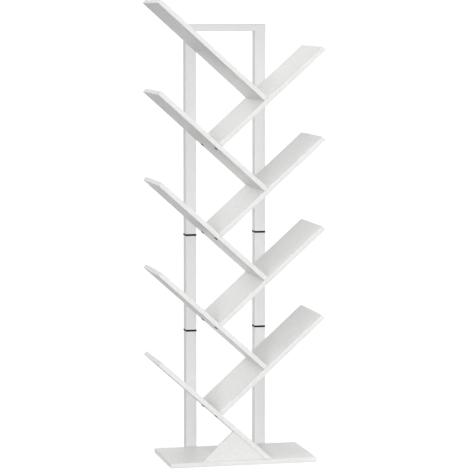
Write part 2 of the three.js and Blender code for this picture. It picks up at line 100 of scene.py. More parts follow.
class NodeTree:
    """A node tree with short calls for its nodes, sums and links."""

    def __init__(self, tree: Group) -> None:
        """Starts from an emptied tree.

        Args:
            tree: The tree of a material, a world or a node group.
        """
        self.tree = tree
        tree.nodes.clear()

    def node(self, kind: str, feeds: Feeds | None = None, **settings: object) -> Node:
        """Adds a node.

        Args:
            kind: The node's class name.
            feeds: What its inputs get, by their names or places.
            settings: Properties of the node, which are set before its inputs.

        Returns:
            The new node.
        """
        made = self.tree.nodes.new(kind)
        for name, value in settings.items():
            setattr(made, name, value)
        for key, value in (feeds or {}).items():
            self.feed(made.inputs[key], value)
        return made

    def feed(self, socket: Socket, value: object) -> None:
        """Links a socket, or sets its value where a plain number or colour comes in.

        Args:
            socket: The input to feed.
            value: An output socket, a number, or a tuple of numbers.
        """
        if isinstance(value, Socket):
            self.tree.links.new(value, socket)
        elif isinstance(value, tuple) and len(value) == 3 and socket.type == "RGBA":
            socket.default_value = (*value, 1.0)
        else:
            socket.default_value = value

    def math(self, operation: str, *values: object, clamp: bool = False) -> Socket:
        """Adds a Math node and returns its output.

        Args:
            operation: The node's operation.
            values: One to three inputs.
            clamp: Whether the result stays between 0 and 1.

        Returns:
            The node's output socket.
        """
        feeds = dict(enumerate(values))
        return self.node("ShaderNodeMath", feeds, operation=operation, use_clamp=clamp).outputs[0]

    def mix_colour(self, share: object, first: object, second: object, blend: str = "MIX") -> Socket:
        """Mixes two colours.

        Args:
            share: How much of the second colour comes in.
            first: The colour at share 0.
            second: The colour at share 1.
            blend: The way the second lies on the first.

        Returns:
            The mixed colour's socket.
        """
        feeds = {"Factor": share, "A": first, "B": second}
        return self.node("ShaderNodeMix", feeds, data_type="RGBA", blend_type=blend).outputs["Result"]

    def spread(self, value: object, span: Pair, to_low: object = 0.0, to_high: object = 1.0) -> Socket:
        """Maps a value from one range to another, clamped.

        Args:
            value: The value to map.
            span: The low and the high end of its range.
            to_low: What the low end becomes.
            to_high: What the high end becomes.

        Returns:
            The mapped value's socket.
        """
        low, high = span
        feeds = {"Value": value, "From Min": low, "From Max": high, "To Min": to_low, "To Max": to_high}
        return self.node("ShaderNodeMapRange", feeds, clamp=True).outputs["Result"]

    def noise(self, place: object, scale: object, detail: float) -> Socket:
        """Adds a noise texture.

        Args:
            place: Where the texture is read.
            scale: How fine it is.
            detail: How many finer layers lie on it.

        Returns:
            The noise's value.
        """
        feeds = {"Vector": place, "Scale": scale, "Detail": detail}
        return self.node("ShaderNodeTexNoise", feeds, noise_dimensions="3D").outputs["Fac"]

    def place(self) -> Socket:
        """Gives a point's place on its piece, which doesn't change when the piece moves."""
        return self.node("ShaderNodeTexCoord").outputs["Object"]

    def facing(self) -> Socket:
        """Gives the direction in which a surface faces."""
        return self.node("ShaderNodeNewGeometry").outputs["Normal"]

    def axis(self, name: str, vector: Socket) -> Socket:
        """Gives a vector's part along X, Y or Z."""
        return self.node("ShaderNodeSeparateXYZ", {"Vector": vector}).outputs[name]

    def placed(self, group: Group, values: Feeds) -> Node:
        """Places a shared group, with its own values."""
        return self.node("ShaderNodeGroup", values, node_tree=group)


@dataclass
class GroupLibrary:
    """Effects that several finishes or pieces share, each built once as a node group."""

    noise_span: Pair = (0.3, 0.7)
    level_span: Pair = (0.2, 0.6)
    edge_span: Pair = (0.8, 0.995)
    rub_span: Pair = (0.35, 0.6)
    rub_least: float = 0.35
    upward_span: Pair = (0.3, 1.0)
    speck_span: Pair = (0.4, 0.75)
    crevice_samples: int = 8
    bevel_samples: int = 4
    merge_distance: float = 0.001 * MM
    sharp_angle: float = 50.0

    @staticmethod
    def start(
        name: str,
        inputs: dict[str, float | Triple],
        outputs: Sequence[str],
    ) -> tuple[NodeTree, Node, Node]:
        """Makes an empty shader group with its sockets.

        Args:
            name: The group's name.
            inputs: Default of each input, by name; three numbers make a vector.
            outputs: Names of the outputs, which are all values.

        Returns:
            The group's tree, its input node and its output node.
        """
        group = bpy.data.node_groups.new(name, "ShaderNodeTree")
        for label, default in inputs.items():
            kind = "NodeSocketVector" if isinstance(default, tuple) else "NodeSocketFloat"
            socket = group.interface.new_socket(label, in_out="INPUT", socket_type=kind)
            socket.default_value = default
        for label in outputs:
            group.interface.new_socket(label, in_out="OUTPUT", socket_type="NodeSocketFloat")
        tree = NodeTree(group)
        return tree, tree.node("NodeGroupInput"), tree.node("NodeGroupOutput")

    @cached_property
    def grain(self) -> Group:
        """Fine grain of a pressed, sprayed or moulded surface: its height, drift of tone and mottle.

        Returns:
            The group, with outputs Height, Tone and Mottle.
        """
        tree, inside, outside = self.start(
            "grain",
            {
                "Fine Scale": 900.0,
                "Coarse Scale": 6.0,
                "Mottle Scale": 130.0,
                "Roundness": 0.5,
                "Stretch": (1.0, 1.0, 1.0),
            },
            ("Height", "Tone", "Mottle"),
        )
        feeds = {0: tree.place(), 1: inside.outputs["Stretch"]}
        place = tree.node("ShaderNodeVectorMath", feeds, operation="MULTIPLY").outputs["Vector"]
        fine = tree.noise(place, inside.outputs["Fine Scale"], detail=2.0)
        feeds = {"Vector": place, "Scale": inside.outputs["Fine Scale"]}
        bumps = tree.node("ShaderNodeTexVoronoi", feeds, feature="SMOOTH_F1").outputs["Distance"]
        feeds = {"Factor": inside.outputs["Roundness"], "A": fine, "B": bumps}
        height = tree.node("ShaderNodeMix", feeds, data_type="FLOAT").outputs["Result"]
        coarse = tree.noise(place, inside.outputs["Coarse Scale"], detail=3.0)
        mottle = tree.noise(place, inside.outputs["Mottle Scale"], detail=2.0)
        tree.feed(outside.inputs["Height"], height)
        tree.feed(outside.inputs["Tone"], tree.spread(coarse, self.noise_span))
        tree.feed(outside.inputs["Mottle"], tree.spread(mottle, self.noise_span))
        return tree.tree

    @cached_property
    def crevice(self) -> Group:
        """Painted shade that darkens corners, seams and screw holes, less so on upright faces if asked.

        Returns:
            The group, with output Mask, which is 1 deep in a corner.
        """
        inputs = {"Reach": 10.0 * MM, "Softness": 1.0, "Upright Share": 1.0}
        tree, inside, outside = self.start("crevice", inputs, ("Mask",))
        feeds = {"Distance": inside.outputs["Reach"]}
        shade = tree.node("ShaderNodeAmbientOcclusion", feeds, samples=self.crevice_samples)
        dark = tree.math("SUBTRACT", 1.0, shade.outputs["AO"], clamp=True)
        deep = tree.math("POWER", dark, inside.outputs["Softness"])
        level = tree.math("ABSOLUTE", tree.axis("Z", tree.facing()))
        share = tree.spread(level, self.level_span, to_low=inside.outputs["Upright Share"])
        tree.feed(outside.inputs["Mask"], tree.math("MULTIPLY", deep, share))
        return tree.tree

    @cached_property
    def edge_wear(self) -> Group:
        """Rub along outer edges, in patches.

        Returns:
            The group, with output Mask, which is 1 on a sharp edge.
        """
        inputs = {"Width": 0.4 * MM, "Patches": 60.0}
        tree, inside, outside = self.start("edge_wear", inputs, ("Mask",))
        feeds = {"Radius": inside.outputs["Width"]}
        bevel = tree.node("ShaderNodeBevel", feeds, samples=self.bevel_samples)
        feeds = {0: bevel.outputs["Normal"], 1: tree.facing()}
        match = tree.node("ShaderNodeVectorMath", feeds, operation="DOT_PRODUCT").outputs["Value"]
        edge = tree.spread(match, self.edge_span, to_low=1.0, to_high=0.0)
        rubs = tree.noise(tree.place(), inside.outputs["Patches"], detail=4.0)
        patches = tree.spread(rubs, self.rub_span, to_low=self.rub_least)
        tree.feed(outside.inputs["Mask"], tree.math("MULTIPLY", edge, patches))
        return tree.tree

    @cached_property
    def dust(self) -> Group:
        """Thin dust that settles on faces that look up.

        Returns:
            The group, with output Mask.
        """
        tree, inside, outside = self.start("dust", {"Amount": 0.3, "Scale": 40.0}, ("Mask",))
        upward = tree.spread(tree.axis("Z", tree.facing()), self.upward_span)
        specks = tree.noise(tree.place(), inside.outputs["Scale"], detail=6.0)
        settled = tree.math("MULTIPLY", upward, tree.spread(specks, self.speck_span))
        tree.feed(outside.inputs["Mask"], tree.math("MULTIPLY", settled, inside.outputs["Amount"]))
        return tree.tree

    @cached_property
    def seam(self) -> Group:
        """Glue line between a board's face and the band on its front and rear edges.

        Returns:
            The group, with output Mask, which is 1 on the line.
        """
        inputs = {"Front": 0.0, "Rear": 0.0, "Band": 1.0 * MM, "Line": 0.3 * MM}
        tree, inside, outside = self.start("seam", inputs, ("Mask",))
        depth = tree.axis("Y", tree.place())
        from_front = tree.math("SUBTRACT", depth, inside.outputs["Front"])
        from_rear = tree.math("SUBTRACT", inside.outputs["Rear"], depth)
        nearest = tree.math("MINIMUM", from_front, from_rear)
        off_line = tree.math("ABSOLUTE", tree.math("SUBTRACT", nearest, inside.outputs["Band"]))
        on_line = tree.math("LESS_THAN", off_line, inside.outputs["Line"])
        tree.feed(outside.inputs["Mask"], on_line)
        return tree.tree

    @cached_property
    def soft_edges(self) -> Group:
        """Shades a piece smooth over its rounded edges, and keeps its sharp edges sharp.

        Returns:
            The geometry group.
        """
        group = bpy.data.node_groups.new("soft_edges", "GeometryNodeTree")
        for way in ("INPUT", "OUTPUT"):
            group.interface.new_socket("Geometry", in_out=way, socket_type="NodeSocketGeometry")
        tree = NodeTree(group)
        plain = tree.node("NodeGroupInput").outputs["Geometry"]
        feeds = {"Geometry": plain, "Distance": self.merge_distance}
        joined = tree.node("GeometryNodeMergeByDistance", feeds).outputs["Geometry"]
        feeds = {"Geometry": joined, "Shade Smooth": True}
        smooth = tree.node("GeometryNodeSetShadeSmooth", feeds, domain="FACE").outputs["Geometry"]
        angle = tree.node("GeometryNodeInputMeshEdgeAngle").outputs["Unsigned Angle"]
        feeds = {0: angle, 1: math.radians(self.sharp_angle)}
        steep = tree.node("FunctionNodeCompare", feeds, data_type="FLOAT", operation="GREATER_THAN")
        feeds = {"Geometry": smooth, "Selection": steep.outputs["Result"], "Shade Smooth": False}
        sharp = tree.node("GeometryNodeSetShadeSmooth", feeds, domain="EDGE").outputs["Geometry"]
        tree.node("NodeGroupOutput", {"Geometry": sharp})
        return group


GROUPS = GroupLibrary()


# Finishes


@dataclass(frozen=True)
class Finish:
    """A surface finish: a base colour, its gloss, and its fine relief."""

    name: str
    colour: Colour
    roughness: float
    metallic: float = 0.0
    specular: float = 0.5
    fine_scale: float = 900.0
    coarse_scale: float = 6.0
    mottle_scale: float = 130.0
    mottle_change: float = 0.01
    roundness: float = 0.5
    stretch: Triple = (1.0, 1.0, 1.0)
    relief: float = 0.02
    relief_depth: float = 0.1 * MM
    tone_change: float = 0.02
    gloss_change: float = 0.05
    # Painted shade: corners, seams and screw holes darken by ambient occlusion within this reach.
    crevice_reach: float = 12.0 * MM
    crevice_softness: float = 1.3
    crevice_shade: float = 0.15
    wear_width: float = 0.4 * MM
    wear_colour: Colour = grey(0.5)
    wear_amount: float = 0.0
    dust_colour: Colour = (0.62, 0.6, 0.57)
    dust_amount: float = 0.0

    def material(self) -> bpy.types.Material:
        """Builds the finish as a procedural material, once.

        Returns:
            The material.
        """
        found = bpy.data.materials.get(self.name)
        if found:
            return found
        made = bpy.data.materials.new(self.name)
        made.use_nodes = True
        tree = NodeTree(made.node_tree)
        values = {
            "Fine Scale": self.fine_scale,
            "Coarse Scale": self.coarse_scale,
            "Mottle Scale": self.mottle_scale,
            "Roundness": self.roundness,
            "Stretch": self.stretch,
        }
        grain = tree.placed(GROUPS.grain, values)
        height = grain.outputs["Height"]
        feeds = {"Strength": self.relief, "Distance": self.relief_depth, "Height": height}
        bump = tree.node("ShaderNodeBump", feeds)
        low, high = self.roughness - self.gloss_change, self.roughness + self.gloss_change
        feeds = {
            "Base Color": self.surface_colour(tree, grain),
            "Roughness": tree.spread(grain.outputs["Tone"], WHOLE, low, high),
            "Metallic": self.metallic,
            "Specular IOR Level": self.specular,
            "Normal": bump.outputs["Normal"],
        }
        shader = tree.node("ShaderNodeBsdfPrincipled", feeds)
        tree.node("ShaderNodeOutputMaterial", {"Surface": shader.outputs["BSDF"]})
        return made

    def surface_colour(self, tree: NodeTree, grain: Node) -> Socket:
        """Works out the colour: its drift and mottle, the painted shade in corners, rubbed edges and
        dust.

        Args:
            tree: The material's tree.
            grain: The grain group placed in it.

        Returns:
            The colour's socket.
        """
        darker = tuple(part * (1.0 - self.tone_change) for part in self.colour)
        colour = tree.mix_colour(grain.outputs["Tone"], darker, self.colour)
        low, high = 1.0 - self.mottle_change, 1.0 + self.mottle_change
        mottle = tree.spread(grain.outputs["Mottle"], WHOLE, low, high)
        colour = tree.mix_colour(1.0, colour, mottle, "MULTIPLY")
        # Painted shade: the colour darkens towards a shaded copy deep in corners.
        values = {"Reach": self.crevice_reach, "Softness": self.crevice_softness}
        crevice = tree.placed(GROUPS.crevice, values)
        shaded = tuple(part * (1.0 - self.crevice_shade) for part in self.colour)
        colour = tree.mix_colour(crevice.outputs["Mask"], colour, shaded)
        if self.wear_amount > 0.0:
            wear = tree.placed(GROUPS.edge_wear, {"Width": self.wear_width})
            rubbed = tree.math("MULTIPLY", wear.outputs["Mask"], self.wear_amount)
            colour = tree.mix_colour(rubbed, colour, self.wear_colour)
        if self.dust_amount > 0.0:
            dust = tree.placed(GROUPS.dust, {"Amount": self.dust_amount})
            colour = tree.mix_colour(dust.outputs["Mask"], colour, self.dust_colour)
        return colour


@dataclass(frozen=True)
class BandedFinish(Finish):
    """White laminate on a board's faces, with a band on its edges, the glue line between them, and
    painted shade where boards meet.
    """

    front: float = 0.0
    rear: float = 0.0
    band: float = 1.0 * MM
    line: float = 0.3 * MM
    line_colour: Colour = (0.35, 0.34, 0.32)
    line_share: float = 0.45
    # Painted shade where boards meet, on level faces only: its reach, softness and depth.
    hollow_reach: float = 120.0 * MM
    hollow_softness: float = 1.5
    painted_hollow_shade: float = 0.13

    def surface_colour(self, tree: NodeTree, grain: Node) -> Socket:
        """Adds the glue line, and painted shade between boards that meet, to the plain finish's colour.

        Args:
            tree: The material's tree.
            grain: The grain group placed in it.

        Returns:
            The colour's socket.
        """
        colour = super().surface_colour(tree, grain)
        values = {"Front": self.front, "Rear": self.rear, "Band": self.band, "Line": self.line}
        seam = tree.placed(GROUPS.seam, values)
        faint = tree.math("MULTIPLY", seam.outputs["Mask"], self.line_share)
        colour = tree.mix_colour(faint, colour, self.line_colour)
        # Painted shade: level faces darken near other boards, by ambient occlusion with a long reach.
        values = {"Reach": self.hollow_reach, "Softness": self.hollow_softness, "Upright Share": 0.0}
        hollow = tree.placed(GROUPS.crevice, values)
        shade = grey(1.0 - self.painted_hollow_shade)
        return tree.mix_colour(hollow.outputs["Mask"], colour, shade, "MULTIPLY")


# Objects and meshes


def put(name: str, data: bpy.types.ID) -> Piece:
    """Puts a new object in the scene.

    Args:
        name: Its name.
        data: Its mesh, lamp or camera.

    Returns:
        The object.
    """
    made = bpy.data.objects.new(name, data)
    bpy.context.scene.collection.objects.link(made)
    return made


def skin(name: str, rows: Sequence[Row], ring: bool = False) -> Mesh:
    """Skins rows of points into a closed mesh.

    Args:
        name: The mesh's name.
        rows: Rows of as many points each, every row closed on itself.
        ring: Whether the last row joins the first; otherwise both are filled.

    Returns:
        The mesh.
    """
    build = bmesh.new()
    lines = [[build.verts.new(point) for point in row] for row in rows]
    pairs = list(zip(lines, lines[1:]))
    if ring:
        pairs.append((lines[-1], lines[0]))
    else:
        build.faces.new(lines[0])
        build.faces.new(lines[-1])
    for line, following in pairs:
        for index, corner in enumerate(line):
            build.faces.new((line[index - 1], corner, following[index], following[index - 1]))
    bmesh.ops.recalc_face_normals(build, faces=build.faces)
    mesh = bpy.data.meshes.new(name)
    build.to_mesh(mesh)
    build.free()
    return mesh


def rounded(outer: float, depth: float, inward: float, down: float, steps: int) -> list[Pair]:
    """Lists points on a turned piece's rounded edge, or in a hollow one, from its face to its side.

    Args:
        outer: The side's radius.
        depth: The face's depth along the axis.
        inward: How far the rounding reaches in from the side; below zero it is a hollow outside it.
        down: How far it reaches down from the face.
        steps: How many stretches it has.

    Returns:
        Pairs of radius and depth.
    """
    points = []
    for step in range(steps + 1):
        turn = 0.5 * math.pi * step / steps
        points.append((outer - inward * (1.0 - math.sin(turn)), depth + down * (1.0 - math.cos(turn))))
    return points


@dataclass(frozen=True)
class Fastener:
    """A turned fastener, in millimetres. Its rows of points go along its axis, from head to tip."""

    length: float
    segments: int = 36

    def row(self, radius: Callable[[float], float], depth: float) -> Row:
        """Makes a row of points round the axis.

        Args:
            radius: Gives the distance from the axis at an angle in radians.
            depth: The row's place along the axis.

        Returns:
            The row.
        """
        points = []
        for step in range(self.segments):
            turn = math.tau * step / self.segments
            reach = radius(turn)
            points.append(Vector((reach * math.cos(turn), reach * math.sin(turn), depth)))
        return points

    def circles(self, steps: Iterable[Pair]) -> list[Row]:
        """Makes round rows from pairs of radius and depth."""
        return [self.row(lambda turn, radius=radius: radius, depth) for radius, depth in steps]

    def rows(self) -> list[Row]:
        """Makes all rows, from the head to the tip."""
        raise NotImplementedError

    def mesh(self, name: str, node: Piece, way: Vector) -> Mesh:
        """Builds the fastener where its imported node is.

        Args:
            name: The mesh's name.
            node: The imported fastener.
            way: Direction from its head to its tip.

        Returns:
            The mesh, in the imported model's frame.
        """
        across = way.orthogonal().normalized()
        beside = way.cross(across)
        middle = []
        for side in (across, beside):
            reach = [side.dot(vertex.co) for vertex in node.data.vertices]
            middle.append(0.5 * (min(reach) + max(reach)))
        head = min(way.dot(vertex.co) for vertex in node.data.vertices)
        origin = across * middle[0] + beside * middle[1] + way * head
        placed = [
            [origin + (across * point.x + beside * point.y + way * point.z) * MM for point in row]
            for row in self.rows()
        ]
        return skin(name, placed)

    @staticmethod
    def length_of(node: Piece, way: Vector) -> float:
        """Measures a packed fastener along its axis, in millimetres."""
        reach = [way.dot(vertex.co) for vertex in node.data.vertices]
        return (max(reach) - min(reach)) / MM


@dataclass(frozen=True)
class Threaded(Fastener):
    """A fastener with a head, a hexagonal socket and a helical thread over its bite."""

    head: float = 12.5
    head_height: float = 2.0
    burr: float = 0.2
    neck: float = 0.35
    neck_rings: int = 2
    shank: float = 6.0
    bite: float = 30.0
    tip: float = 0.8
    pitch: float = 1.0
    groove: float = 0.55
    crisp: float = 1.0
    turn_steps: int = 5
    socket_across: float = 4.0
    socket_depth: float = 1.5
    socket_ease: float = 0.25
    floor_share: float = 0.42
    floor_rise: float = 0.1

    def hexagon(self, across: float, depth: float) -> Row:
        """Makes a six-sided row.

        Args:
            across: The distance between opposite flats.
            depth: Its depth below the head's face.

        Returns:
            The row.
        """
        sixth = math.tau / 6.0
        return self.row(lambda turn: 0.5 * across / math.cos(turn % sixth - 0.5 * sixth), depth)

    def socket(self) -> list[Row]:
        """Makes the hexagonal socket, from its drilled floor to its eased mouth.

        Returns:
            The rows.
        """
        across, floor = self.socket_across, self.socket_depth
        return [
            *self.circles(((self.socket_ease, floor), (self.floor_share * across, floor))),
            self.hexagon(across, floor - self.floor_rise),
            self.hexagon(across, self.socket_ease),
            self.hexagon(across + 2.0 * self.socket_ease, 0.0),
        ]

    def thread(self) -> list[Row]:
        """Makes the rows of the helical thread, which starts and ends on a plain shank.

        Returns:
            The rows.
        """
        start, end = self.length - self.bite, self.length - self.tip
        count = round((end - start) / self.pitch * self.turn_steps)
        rows = []
        for step in range(count + 1):
            depth = start + (end - start) * step / count
            crest = math.tau * depth / self.pitch
            groove = self.groove * min(1.0, (depth - start) / self.pitch, (end - depth) / self.pitch)
            rows.append(self.row(lambda turn: self.thread_radius(turn - crest, groove), depth))
        return rows

    def thread_radius(self, turn: float, groove: float) -> float:
        """Gives the radius at an angle from the thread's crest, where its groove has some depth."""
        return 0.5 * self.shank - groove * (1.0 - (0.5 + 0.5 * math.cos(turn)) ** self.crisp)

    def head_steps(self) -> list[Pair]:
        """Lists the radius and depth of the head's rows."""
        raise NotImplementedError

    def under_steps(self) -> list[Pair]:
        """Lists the rows of the head's lower rim, and of the hollow between its underside and the shank.

        Returns:
            Pairs of radius and depth.
        """
        side, under = 0.5 * self.head, self.head_height
        hollow = rounded(0.5 * self.shank, under, -self.neck, self.neck, self.neck_rings)
        return [(side, under - self.burr), (side - self.burr, under), *hollow]

    def tip_steps(self) -> list[Pair]:
        """Lists the radius and depth of the tip's rows."""
        return [(0.5 * self.shank - self.tip, self.length)]

    def rows(self) -> list[Row]:
        """Makes the socket, the head, the thread and the tip."""
        head, tip = self.circles(self.head_steps()), self.circles(self.tip_steps())
        return [*self.socket(), *head, *self.thread(), *tip]


@dataclass(frozen=True)
class FlatBolt(Threaded):
    """A bolt with a wide flat head, rounded at its rim."""

    rim: float = 0.7
    rim_rings: int = 3

    def head_steps(self) -> list[Pair]:
        """Lists the rows of the flat face, the rounded rim, the underside and the neck."""
        rim = rounded(0.5 * self.head, 0.0, self.rim, self.rim, self.rim_rings)
        return [*rim, *self.under_steps()]


@dataclass(frozen=True)
class ButtonBolt(Threaded):
    """A bolt with a domed head."""

    head: float = 11.5
    head_height: float = 3.2
    burr: float = 0.1
    bite: float = 22.0
    socket_depth: float = 2.0
    flat: float = 5.8
    dome_rings: int = 8
    skirt: float = 0.6

    def head_steps(self) -> list[Pair]:
        """Lists the rows of the dome, its skirt, the underside and the neck.

        Returns:
            Pairs of radius and depth.
        """
        side, height = 0.5 * self.head, self.head_height - self.skirt
        dome = rounded(side, 0.0, side - 0.5 * self.flat, height, self.dome_rings)
        return [*dome, *self.under_steps()]


@dataclass(frozen=True)
class WoodScrew(Threaded):
    """A countersunk wood screw with a coarse thread and a drawn tip."""

    head: float = 8.0
    head_height: float = 2.4
    burr: float = 0.12
    shank: float = 4.0
    bite: float = 22.0
    tip: float = 2.6
    pitch: float = 2.0
    groove: float = 0.65
    crisp: float = 3.0
    turn_steps: int = 8
    socket_across: float = 2.5
    socket_depth: float = 1.2
    skirt: float = 0.35
    waist_share: float = 0.55
    point: float = 0.1

    def head_steps(self) -> list[Pair]:
        """Lists the rows of the flat face, the skirt and the cone."""
        side, core = 0.5 * self.head, 0.5 * self.shank
        return [(side - self.burr, 0.0), (side, self.burr), (side, self.skirt), (core, self.head_height)]

    def tip_steps(self) -> list[Pair]:
        """Lists the rows of the drawn tip."""
        waist = (0.5 * self.shank * self.waist_share, self.length - 0.5 * self.tip)
        return [waist, (self.point, self.length)]


@dataclass(frozen=True)
class Dowel(Fastener):
    """A beech dowel with pressed flutes and eased ends."""

    segments: int = 72
    across: float = 6.0
    ease: float = 0.8
    flutes: int = 12
    flute_depth: float = 0.28
    run_out: float = 0.5

    def fluted(self, turn: float) -> float:
        """Gives the radius at an angle, between the flutes or in one."""
        return 0.5 * self.across - self.flute_depth * (0.5 - 0.5 * math.cos(self.flutes * turn)) ** 2

    def rows(self) -> list[Row]:
        """Makes the eased ends and the flutes between them.

        Returns:
            The rows.
        """
        radius, far = 0.5 * self.across, self.length - self.ease
        return [
            *self.circles(((radius - self.ease, 0.0), (radius, self.ease))),
            self.row(self.fluted, self.ease + self.run_out),
            self.row(self.fluted, far - self.run_out),
            *self.circles(((radius, far), (radius - self.ease, self.length))),
        ]


@dataclass(frozen=True)
class WeldBead:
    """The ground and painted weld between a post's top and the rail that lies on it.

    In front and behind it fills the groove under the rail's rounded edge. At the post's sides it is a
    small fillet under the rail. Each step of a section is an outward reach and a height over the post's
    top, in millimetres.
    """

    corner: float = 2.4 * MM
    corner_steps: int = 6
    face_section: tuple[Pair, ...] = (
        (0.0, -0.7), (0.04, -0.4), (0.06, 0.3), (0.06, 1.6),
        (0.04, 2.6), (0.0, 3.1), (-1.3, 0.28), (-1.3, 0.02),
    )
    side_section: tuple[Pair, ...] = (
        (0.0, -0.7), (0.1, -0.4), (0.28, 0.0), (0.42, 0.22),
        (0.3, 0.29), (0.0, 0.29), (-1.3, 0.28), (-1.3, 0.02),
    )

    def outline(self, low: Vector, high: Vector) -> list[tuple[Vector, Vector]]:
        """Lists points round the post's outline, each with its outward direction.

        Args:
            low: The post's lowest corner.
            high: The post's highest corner.

        Returns:
            Pairs of a point at the post's top and a direction.
        """
        corners = (
            (high.x - self.corner, high.y - self.corner, 0.0),
            (low.x + self.corner, high.y - self.corner, 90.0),
            (low.x + self.corner, low.y + self.corner, 180.0),
            (high.x - self.corner, low.y + self.corner, 270.0),
        )
        spots = []
        for x, y, start in corners:
            for step in range(self.corner_steps + 1):
                angle = math.radians(start + 90.0 * step / self.corner_steps)
                out = Vector((math.cos(angle), math.sin(angle), 0.0))
                spots.append((Vector((x, y, high.z)) + out * self.corner, out))
        return spots

    def mesh(self, name: str, post: str) -> Mesh:
        """Builds the bead on a post.

        Args:
            name: The mesh's name.
            post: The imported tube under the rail.

        Returns:
            The mesh.
        """
        spots = self.outline(*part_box(post))
        rows = []
        for face, side in zip(self.face_section, self.side_section):
            row = []
            for spot, out in spots:
                share = out.y ** 2
                reach = side[0] + (face[0] - side[0]) * share
                height = side[1] + (face[1] - side[1]) * share
                row.append(spot + (out * reach + Vector((0.0, 0.0, height))) * MM)
            rows.append(row)
        return skin(name, rows, ring=True)


# Sub-assemblies


@dataclass
class Assembly:
    """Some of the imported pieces, and what is built on them."""

    starts: ClassVar[tuple[str, ...]] = ()
    packed: dict[str, Piece]
    built: list[Piece] = field(default_factory=list)

    def named(self, start: str) -> list[Piece]:
        """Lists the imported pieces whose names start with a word, in order."""
        return [self.packed[name] for name in sorted(self.packed) if name.startswith(start)]

    def pieces(self) -> list[Piece]:
        """Lists the assembly's packed and built pieces."""
        return [node for start in self.starts for node in self.named(start)] + self.built

    def dress(self, piece: Piece, finish: Finish) -> None:
        """Gives a piece its finish, and smooth shading over its rounded edges.

        Args:
            piece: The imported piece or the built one.
            finish: What its surface is made of.
        """
        piece.data.materials.clear()
        piece.data.materials.append(finish.material())
        soft = piece.modifiers.new("soft_edges", "NODES")
        soft.node_group = GROUPS.soft_edges
        weighted = piece.modifiers.new("flat_faces", "WEIGHTED_NORMAL")
        weighted.mode = "FACE_AREA"
        weighted.keep_sharp = True
        LOG.info("%s: %s", piece.name, finish.name)

    def add(self, name: str, mesh: Mesh, finish: Finish, slot: Slot) -> Piece:
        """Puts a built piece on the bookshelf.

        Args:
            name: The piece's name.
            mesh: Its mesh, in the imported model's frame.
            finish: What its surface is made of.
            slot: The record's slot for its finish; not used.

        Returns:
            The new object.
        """
        piece = put(name, mesh)
        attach(piece, BODY)
        self.dress(piece, finish)
        self.built.append(piece)
        return piece


@dataclass
class Boards(Assembly):
    """Base plate, tilted boards and triangular plate, all of white laminated board."""

    starts: ClassVar[tuple[str, ...]] = ("base_plate", "shelf_", "triangle_support")
    laminate: BandedFinish = BandedFinish(
        name="shelf_laminate",
        colour=(0.865, 0.865, 0.855),
        roughness=0.42,
        fine_scale=1400.0,
        mottle_change=0.04,
        stretch=(1.0, 0.35, 1.0),
        relief=0.1,
        dust_amount=0.04,
    )
    # Painted shade on the base plate's top, under the boards, deeper than on the shelves.
    base_painted_shade: float = 0.5
    # Painted shade: share of the laminate's colour that the triangular plate keeps.
    plate_shaded_tone: float = 0.965

    def finish_for(self, node: Piece) -> Finish:
        """Gives the laminate whose bands lie at this board's own edges.

        Args:
            node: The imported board.

        Returns:
            The board's finish.
        """
        low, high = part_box(node.name)
        finish = self.laminate
        if node.name.startswith("base"):
            finish = replace(finish, name="base_laminate", painted_hollow_shade=self.base_painted_shade)
        elif node.name.startswith("triangle"):
            # Painted shade: the triangular plate takes a darker copy of the same laminate.
            colour = tuple(part * self.plate_shaded_tone for part in finish.colour)
            finish = replace(finish, name="plate_shaded_laminate", colour=colour)
        name = f"{finish.name}_{round(low.y / MM)}_{round(high.y / MM)}"
        return replace(finish, name=name, front=low.y, rear=high.y)

    def build(self) -> None:
        """Dresses every board."""
        for node in self.pieces():
            self.dress(node, self.finish_for(node))


@dataclass
class RearFrame(Assembly):
    """Two tube posts with their joints and feet, and the rail welded across their tops."""

    starts: ClassVar[tuple[str, ...]] = (
        "post_left",
        "post_right",
        "post_connector",
        "foot_cap",
        "top_rail",
    )
    paint: Finish = Finish(
        name="powder_coat",
        colour=grey(0.7),
        roughness=0.45,
        fine_scale=1100.0,
        roundness=0.9,
        relief=0.12,
        tone_change=0.01,
        wear_width=0.8 * MM,
        wear_colour=grey(0.76),
        wear_amount=0.5,
    )
    plastic: Finish = Finish(
        name="black_plastic",
        colour=grey(0.006),
        roughness=0.5,
        specular=0.12,
        fine_scale=2200.0,
        relief=0.2,
        tone_change=0.1,
        # Painted shade in the connectors' seams and corners.
        crevice_shade=0.4,
    )
    plug: Finish = Finish(
        name="white_plug",
        colour=(0.695, 0.695, 0.69),
        roughness=0.5,
        fine_scale=2200.0,
        relief=0.15,
        tone_change=0.01,
    )
    bead: WeldBead = WeldBead()

    def finish_for(self, node: Piece) -> Finish:
        """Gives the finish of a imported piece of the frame.

        Args:
            node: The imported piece.

        Returns:
            The piece's finish.
        """
        if node.name.startswith(("post_connector", "foot_cap")):
            return self.plastic
        return self.plug if node.name.startswith("top_rail_plug") else self.paint

    def build(self) -> None:
        """Dresses the tubes, joints, feet, rail and plugs, and lays the welds."""
        for node in self.pieces():
            self.dress(node, self.finish_for(node))
        for side in ("left", "right"):
            name = f"rail_weld_{side}"
            self.add(name, self.bead.mesh(name, f"post_{side}_upper"), self.paint, Slot.TUBE)


